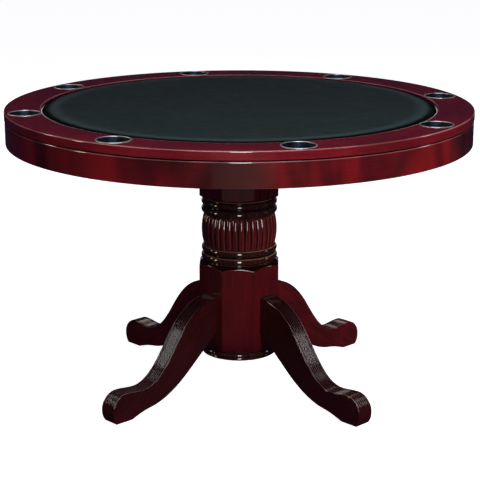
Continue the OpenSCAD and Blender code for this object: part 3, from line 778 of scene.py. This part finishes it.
def leg_mesh(name):
    outline, reeded, inner_start = leg_line()
    s, with_reeds, plain, painted_shade, painted_highlight = leg_sections()
    after, before = np.roll(outline, -1, axis=0), np.roll(outline, 1, axis=0)
    along = after - before
    along /= np.linalg.norm(along, axis=1, keepdims=True)
    inward = np.stack([along[:, 1], -along[:, 0]], axis=1)
    drop = reeded[:, None] * with_reeds + (1 - reeded[:, None]) * plain
    drop[inner_start + 1:] = 0
    place_xz = outline[:, None, :] + inward[:, None, :] * drop[:, :, None]
    place_xz[:, :, 0] = np.maximum(place_xz[:, :, 0], 0)
    place_xz[0, :, 0] = place_xz[inner_start:, :, 0] = -0.4 * MM
    points = np.stack([place_xz[:, :, 0], np.broadcast_to(s, drop.shape), place_xz[:, :, 1]], axis=-1)
    # Painted highlights on the reeded face fade out towards the shoulder.
    highlight_along = reeded * np.clip((HIGHLIGHT_TOP - outline[:, 1]) / HIGHLIGHT_FADE, 0, 1)
    return grid_mesh(name, points, close_columns=False, caps=True, sharp_angle=50,
                     marks={"painted_shade": reeded[:, None] * painted_shade, "painted_highlight": highlight_along[:, None] * painted_highlight})


def leg_piece(i):
    leg = leg_mesh(f"leg_{i}_carved")
    turn = TURN / 8 + (i - 1) * TURN / 4
    reach = LOWER_HI.x
    leg.location = (reach * math.cos(turn), reach * math.sin(turn), SOLE_Z)
    leg.rotation_euler = (0, 0, turn)
    # Painted light and shade: the rear legs get lighter tones and the front legs darker ones.
    lit_and_shaded_tones = {1: (BRIGHT, RED, DEEP), 2: (RED, RED, DUSK)}.get(i, (DEEP, DUSK, LOW))
    wood = lacquered(f"leg_lacquer_{i}", *lit_and_shaded_tones, (1.0, 7, 7), turn=(0, math.radians(-38), 0),
                     offset=1.9 * i, figure=0.3, wear_and_highlight=0, highlight_tone=HIGHLIGHT_ROSE)
    return place(leg, "pedestal", wood, "red_mahogany", f"leg_{i}")


# ---- Parts under the top ----

def eased_copy(node, body, material, slot):
    """A CAD node's own shape with eased edges, in its own material."""
    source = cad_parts[node]
    obj = link(f"{node}_eased", source.data.copy())
    work = bmesh.new()
    work.from_mesh(obj.data)
    bmesh.ops.remove_doubles(work, verts=work.verts, dist=1e-6)
    bmesh.ops.dissolve_limit(work, angle_limit=math.radians(1), verts=work.verts, edges=work.edges)
    work.to_mesh(obj.data)
    work.free()
    bevel = obj.modifiers.new("ease", "BEVEL")
    bevel.width = 1 * MM
    bevel.segments = 2
    bevel.limit_method = "ANGLE"
    bevel.angle_limit = math.radians(50)
    bake_modifiers(obj)
    shade(obj.data)
    return place(obj, body, material, slot, node)


def dress(node, material):
    """Gives a CAD node that stays on show its material."""
    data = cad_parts[node].data
    data.materials.clear()
    data.materials.append(material)


def hidden_parts():
    eased_copy("cross_rail_x", "pedestal", rough_x, "bare_wood")
    eased_copy("cross_rail_y", "pedestal", rough_y, "bare_wood")
    eased_copy("ledge_blocks", "pedestal", rough_x, "bare_wood")
    eased_copy("mounting_plate", "pedestal", wood_block, "dark_mahogany")
    eased_copy("top_battens", "top", rough_x, "bare_wood")
    dress("playfield_board", ply)
    dress("leg_dowels", rough_x)
    for node in ("batten_screws", "rail_screws", "plate_screws", "rail_bolts", "rail_nuts",
                 "base_screws", "tie_rod", "tie_nuts", "leg_bolts", "leg_nuts"):
        dress(node, zinc)
    dress("foot_inserts", brass)
    for i in range(1, 5):
        dress(f"leveler_{i}", nylon)


rail_piece()
playing_pad()
for number in range(1, CUP_COUNT + 1):
    cup_piece(number)
apron_piece()
upper_block_piece()
upper_beads_piece()
barrel_piece()
lower_beads_piece()
lower_block_piece()
base_piece()
for number in range(1, 5):
    leg_piece(number)
hidden_parts()


# ---- Stage ----

def flat_light(name, place_at, target, size, power, colour=(1, 1, 1), diffuse=True, glossy=True,
               long_side=(0, 0, 1)):
    """A soft box that faces target, with its second size laid along long_side."""
    data = bpy.data.lights.new(name, "AREA")
    data.shape = "RECTANGLE"
    data.size, data.size_y = size
    data.energy = power
    data.color = colour
    lamp = bpy.data.objects.new(name, data)
    bpy.context.scene.collection.objects.link(lamp)
    lamp.location = place_at
    away = (lamp.location - Vector(target)).normalized()
    across = Vector(long_side).cross(away).normalized()
    lamp.rotation_euler = Matrix((across, away.cross(across), away)).transposed().to_euler()
    lamp.visible_camera = False
    lamp.visible_diffuse = diffuse
    lamp.visible_glossy = glossy
    return lamp


def stage():
    white = Nodes("stage_white")
    white.set(Base_Color=(0.9, 0.9, 0.9, 1), Roughness=0.9, Emission_Color=(1, 1, 1, 1),
              Emission_Strength=0.95)
    below = white.add("NewGeometry").outputs["Backfacing"]
    clear = white.add("BsdfTransparent").outputs[0]
    sheer = white.add("MixShader", {0: below, 1: white.shader.outputs[0], 2: clear}).outputs[0]
    white.tree.links.new(sheer, white.tree.nodes["Material Output"].inputs[0])
    bpy.ops.mesh.primitive_circle_add(vertices=96, radius=40, fill_type="NGON", location=(0, 0, 0))
    floor = bpy.context.object
    floor.name = "floor"
    floor.data.materials.append(white.material)
    floor.visible_glossy = floor.visible_diffuse = False
    glow = Nodes("backdrop_white")
    glow.set(Base_Color=(0, 0, 0, 1), Emission_Color=(1, 1, 1, 1), Emission_Strength=1.0)
    bpy.ops.mesh.primitive_uv_sphere_add(segments=48, ring_count=24, radius=38)
    dome = bpy.context.object
    dome.name = "backdrop"
    dome.data.materials.append(glow.material)
    dome.visible_glossy = dome.visible_diffuse = dome.visible_shadow = dome.visible_transmission = False
    world = bpy.data.worlds.new("studio")
    world.use_nodes = True
    world.node_tree.nodes["Background"].inputs[0].default_value = (0.40, 0.36, 1.0, 1)
    world.node_tree.nodes["Background"].inputs[1].default_value = 0.028
    bpy.context.scene.world = world
    bpy.context.scene.view_settings.view_transform = "Standard"
    wood_z, top_z = 0.45, 0.77
    # Soft boxes that light the wood and the vinyl.
    flat_light("overhead", (0.1, -1.15, 1.95), (0, 0, top_z), (1.2, 0.8), 17, (0.95, 0.97, 1))
    flat_light("key", (3.1, -3.9, 2.2), (0, 0, wood_z), (1.6, 1.6), 150, (1, 0.97, 0.95), glossy=False)
    flat_light("fill", (0.2, -5.2, 1.4), (0, 0, wood_z), (2.0, 2.0), 50, glossy=False)
    flat_light("fill_left", (-4.3, -2.5, 1.5), (0, 0, wood_z), (1.0, 2.0), 12, (1, 0.96, 0.9), glossy=False)
    for side in (-1, 1):
        flat_light("fill_back", (3.2 * side, 4.2, 0.7), (0, 0, wood_z), (2.0, 1.2), 45, glossy=False)
    # Cards and strips that only draw highlights in the lacquer.
    flat_light("strip_front", (0.2, -5.2, 1.9), (0, 0, 0.5), (0.9, 3.8), 210, diffuse=False)
    for side in (-1, 1):
        flat_light("strip_side", (4.0 * side, 0.65, 2.4), (0.2 * side, -0.2, 0.15), (0.4, 1.9), 22,
                   (1, 0.84, 0.76), diffuse=False, long_side=(-0.18 * side, 0.18, 0.24))
    flat_light("warm_left", (-4.5, -1.3, 1.4), (0, 0, wood_z), (0.5, 1.8), 56, (1, 0.72, 0.45), diffuse=False)
    flat_light("floor_card", (0.2, -4.3, 0.05), (0, 0, 0.7), (2.0, 1.0), 1.0, diffuse=False,
               long_side=(0, 1, 0))
    flat_light("back_strip", (0, 5.0, 0.92), (0, 0, 0.76), (6.0, 0.3), 8, (0.95, 0.97, 1), diffuse=False)


def camera():
    distance, turn, height, pitch = 3.7058, math.radians(1.29), 1.4042, math.radians(15.163)
    data = bpy.data.cameras.new("camera")
    data.sensor_width, data.lens = 36, 107.26
    data.shift_x = 0.0016
    cam = bpy.data.objects.new("camera", data)
    bpy.context.scene.collection.objects.link(cam)
    cam.location = (distance * math.sin(turn), -distance * math.cos(turn), height)
    cam.rotation_euler = (math.pi / 2 - pitch, 0, turn)
    bpy.context.scene.camera = cam


stage()
camera()
